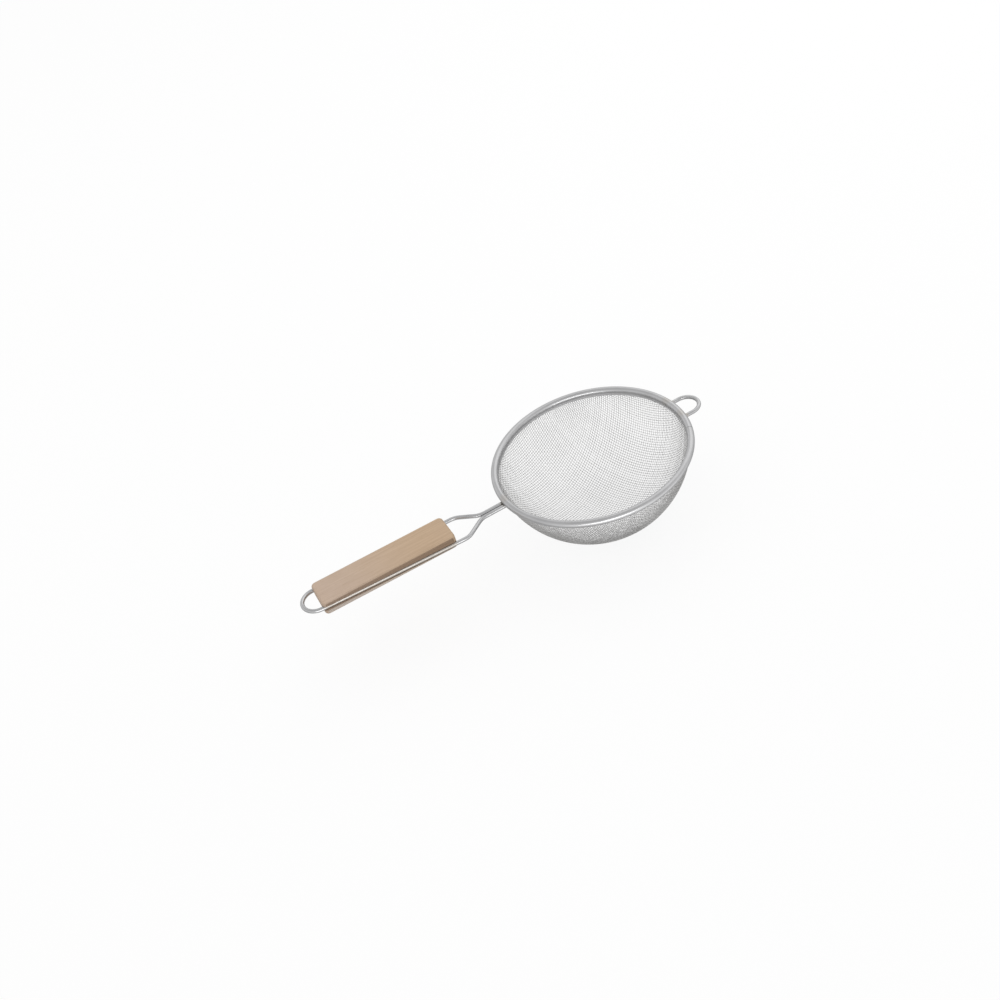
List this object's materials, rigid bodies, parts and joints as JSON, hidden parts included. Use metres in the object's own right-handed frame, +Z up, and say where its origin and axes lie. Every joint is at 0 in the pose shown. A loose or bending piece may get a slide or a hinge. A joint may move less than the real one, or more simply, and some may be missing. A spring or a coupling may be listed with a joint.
{
  "type": "strainer",
  "caption": "Round bowl strainer of woven steel mesh in a rolled rim, with a flat wooden handle gripped by one bent wire, and a rest loop opposite it.",
  "frame": {"origin": "centre of the rim, in the plane of the ring wire inside it", "axes": "+Z up out of the bowl along its axis, +X from the rim's centre towards the rest loop, so the handle runs towards -X, +Y to the left of someone who looks along +X"},
  "size_m": [0.3456, 0.1588, 0.074],
  "materials": {
    "mesh": "plain woven stainless wire, bright",
    "band": "smooth rolled stainless sheet, satin",
    "wire": "drawn stainless wire, semi-bright",
    "wood": "plain light hardwood, sanded and unvarnished"
  },
  "bodies": {
    "strainer": {"mesh_bowl": "mesh", "rim_band": "band", "ring_wire": "wire", "handle_wire": "wire", "rest_loop": "wire", "wood_handle": "wood"}
  },
  "joints": []
}
